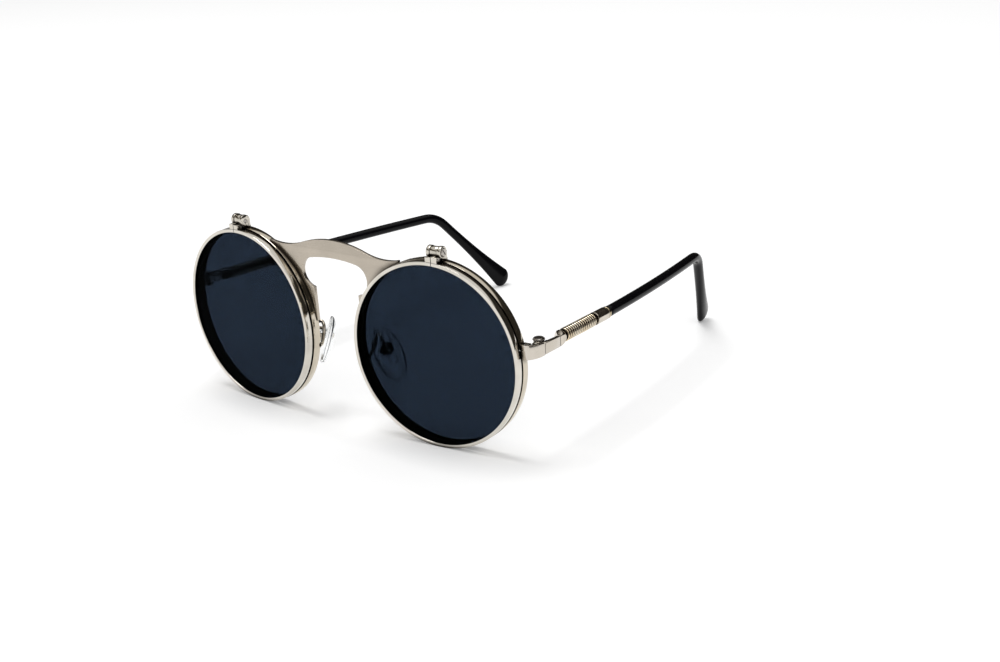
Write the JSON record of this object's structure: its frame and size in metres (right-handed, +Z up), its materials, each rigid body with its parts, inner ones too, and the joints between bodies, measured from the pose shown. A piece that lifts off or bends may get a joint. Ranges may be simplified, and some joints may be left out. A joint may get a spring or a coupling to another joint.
{
  "type": "flip-up sunglasses",
  "caption": "Round wire sunglasses with tinted lenses that flip up from clear ones, a flat bridge plate, coil-wrapped folding temples and black ear tips.",
  "frame": {"origin": "middle of the footprint of the open glasses, on the surface that they stand on", "axes": "+X to the wearer's left, +Y back along the temples, +Z up"},
  "size_m": [0.1296, 0.1361, 0.0561],
  "materials": {
    "plate_metal": "satin",
    "rear_rim_metal": "polished",
    "flip_rim_metal": "polished",
    "strip_metal": "satin",
    "hinge_metal": "polished",
    "core_metal": "polished",
    "coil_metal": "polished",
    "collar_metal": "polished",
    "pad_metal": "polished",
    "screw_steel": "satin",
    "tinted_lens": "glossy",
    "clear_lens": "glossy",
    "black_tip": "glossy",
    "pad_silicone": "glossy"
  },
  "bodies": {
    "front": {"bridge_plate": "plate_metal", "rear_rim_left": "rear_rim_metal", "rear_lens_left": "clear_lens", "end_piece_left": "strip_metal", "rear_lock_left": "strip_metal", "rear_lock_screw_left": "screw_steel", "hinge_fork_left": "hinge_metal", "temple_screw_left": "screw_steel", "flip_base_left": "hinge_metal", "flip_pin_left": "screw_steel", "pad_arm_left": "pad_metal", "pad_box_left": "pad_metal", "pad_screw_left": "screw_steel", "rear_rim_right": "rear_rim_metal", "rear_lens_right": "clear_lens", "end_piece_right": "strip_metal", "rear_lock_right": "strip_metal", "rear_lock_screw_right": "screw_steel", "hinge_fork_right": "hinge_metal", "temple_screw_right": "screw_steel", "flip_base_right": "hinge_metal", "flip_pin_right": "screw_steel", "pad_arm_right": "pad_metal", "pad_box_right": "pad_metal", "pad_screw_right": "screw_steel"},
    "flip_left": {"flip_rim_left": "flip_rim_metal", "flip_lens_left": "tinted_lens", "flip_leaf_left": "hinge_metal", "flip_lock_left": "hinge_metal", "flip_lock_screw_left": "screw_steel"},
    "temple_left": {"hinge_tongue_left": "hinge_metal", "temple_bar_left": "strip_metal", "temple_core_left": "core_metal", "temple_coil_left": "coil_metal", "temple_collar_left": "collar_metal", "temple_wire_left": "screw_steel", "ear_tip_left": "black_tip"},
    "pad_left": {"nose_pad_left": "pad_silicone"},
    "flip_right": {"flip_rim_right": "flip_rim_metal", "flip_lens_right": "tinted_lens", "flip_leaf_right": "hinge_metal", "flip_lock_right": "hinge_metal", "flip_lock_screw_right": "screw_steel"},
    "temple_right": {"hinge_tongue_right": "hinge_metal", "temple_bar_right": "strip_metal", "temple_core_right": "core_metal", "temple_coil_right": "coil_metal", "temple_collar_right": "collar_metal", "temple_wire_right": "screw_steel", "ear_tip_right": "black_tip"},
    "pad_right": {"nose_pad_right": "pad_silicone"}
  },
  "joints": [
    {"name": "flip_up_left", "type": "hinge", "parent": "front", "child": "flip_left", "pos_m": [0.03632, -0.06338, 0.05439], "axis": [-0.9959, -0.0906, -0.0032], "range_deg": [0, 100]},
    {"name": "flip_up_right", "type": "hinge", "parent": "front", "child": "flip_right", "pos_m": [-0.03632, -0.06338, 0.05439], "axis": [-0.9959, 0.0906, 0.0032], "range_deg": [0, 100]},
    {"name": "temple_fold_left", "type": "hinge", "parent": "front", "child": "temple_left", "pos_m": [0.0619, -0.05503, 0.03075], "axis": [0, 0, 1], "range_deg": [0, 82]},
    {"name": "temple_fold_right", "type": "hinge", "parent": "front", "child": "temple_right", "pos_m": [-0.0619, -0.05503, 0.03075], "axis": [0, 0, -1], "range_deg": [0, 72]},
    {"name": "pad_rock_left", "type": "hinge", "parent": "front", "child": "pad_left", "pos_m": [0.01334, -0.0591, 0.02271], "axis": [0.6104, 0.7279, 0.3124], "range_deg": [-10, 10]},
    {"name": "pad_rock_right", "type": "hinge", "parent": "front", "child": "pad_right", "pos_m": [-0.01334, -0.0591, 0.02271], "axis": [0.6104, -0.7279, -0.3124], "range_deg": [-10, 10]}
  ]
}
